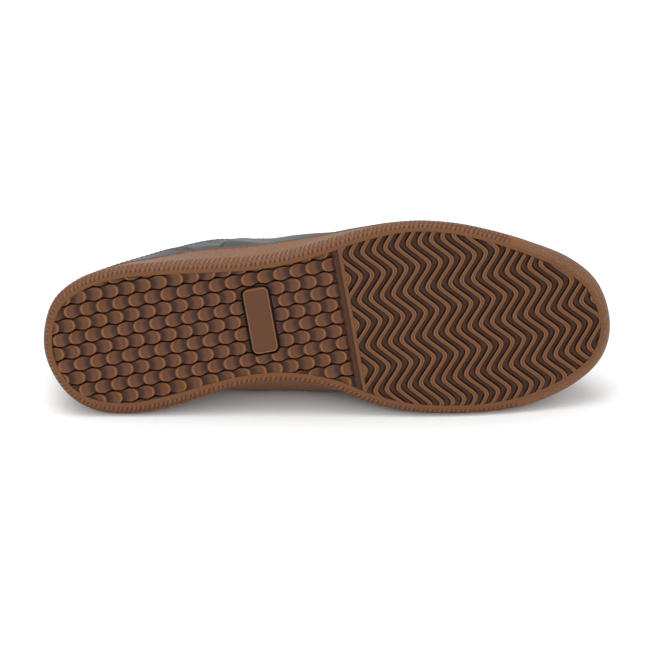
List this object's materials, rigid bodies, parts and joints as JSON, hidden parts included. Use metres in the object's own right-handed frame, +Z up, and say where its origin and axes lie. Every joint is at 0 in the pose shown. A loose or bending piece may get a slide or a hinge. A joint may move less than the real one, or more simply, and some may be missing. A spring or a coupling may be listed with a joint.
{
  "type": "sneaker",
  "caption": "Low lace-up sneaker lying on its inner side: leather upper on a moulded rubber cupsole with a ribbed and scaled tread.",
  "frame": {"origin": "middle of the footprint's bounding box, on the surface that the shoe lies on", "axes": "+X toward the toe, +Y from the tread toward the collar, +Z up, toward the shoe's outer side"},
  "size_m": [0.3034, 0.1034, 0.1047],
  "materials": {
    "gum_rubber": "moulded matt gum rubber",
    "leather": "satin full-grain leather",
    "insole_fabric": "knit cloth on foam",
    "lace_cotton": "flat braided cotton"
  },
  "bodies": {
    "root": {"outsole": "gum_rubber", "insole": "insole_fabric", "upper": "leather", "heel_counter": "leather", "eyestay": "leather", "tongue": "leather", "lace": "lace_cotton"}
  },
  "joints": []
}
